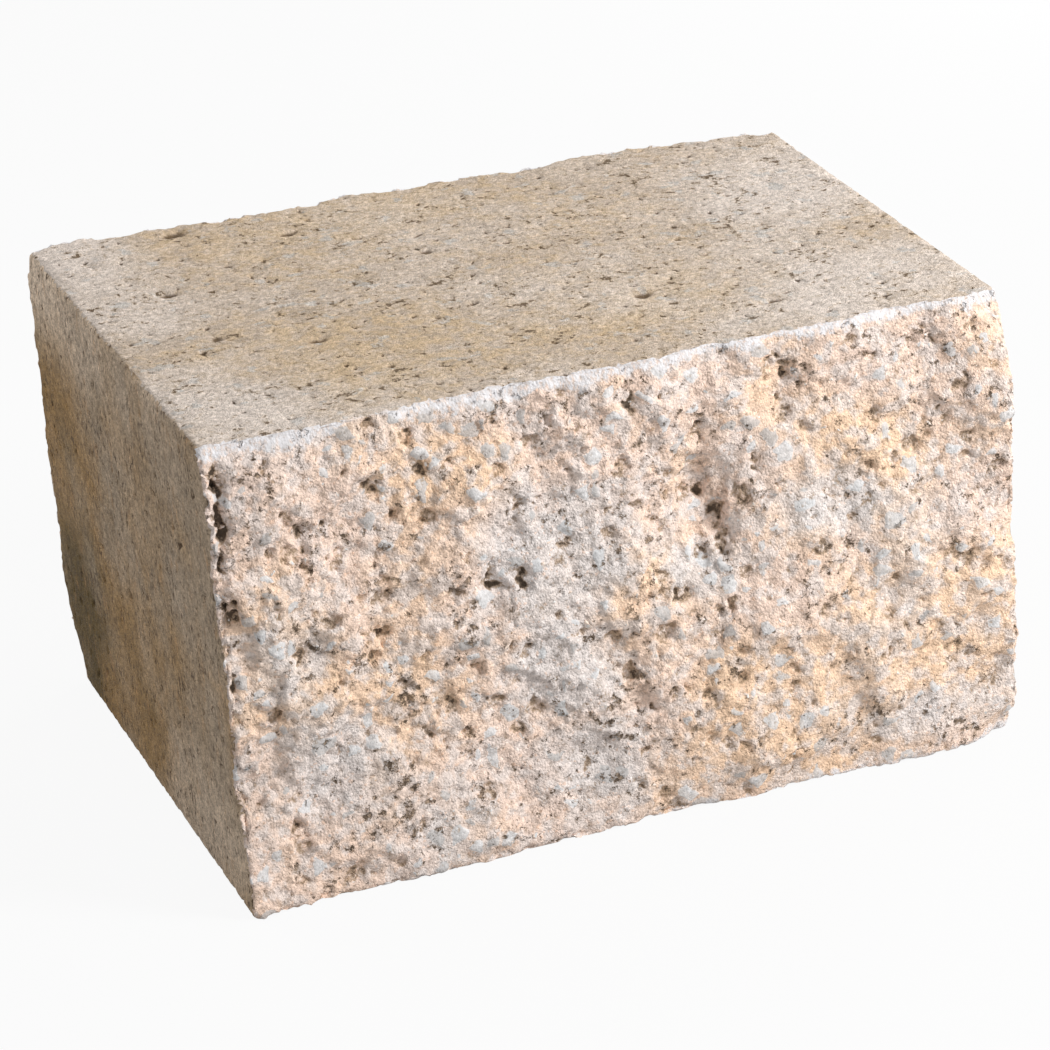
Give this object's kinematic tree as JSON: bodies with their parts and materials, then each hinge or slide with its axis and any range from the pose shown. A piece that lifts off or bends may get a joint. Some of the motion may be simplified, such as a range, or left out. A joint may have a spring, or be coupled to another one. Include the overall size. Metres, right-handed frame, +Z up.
{
  "type": "split-face concrete block",
  "caption": "Solid sand-coloured concrete walling block with flat beds and moulded ends, and rough split long faces with crushed blade lines along their edges.",
  "frame": {"origin": "middle of the underside, on the bed that the block stands on", "axes": "+X along the wall from one moulded end to the other, +Y from the front split face to the back split face, +Z up from bed to bed"},
  "size_m": [0.24, 0.2, 0.14],
  "materials": {
    "concrete": "rough sand-coloured concrete with small grey and white stones"
  },
  "bodies": {
    "root": {"block": "concrete"}
  },
  "joints": []
}
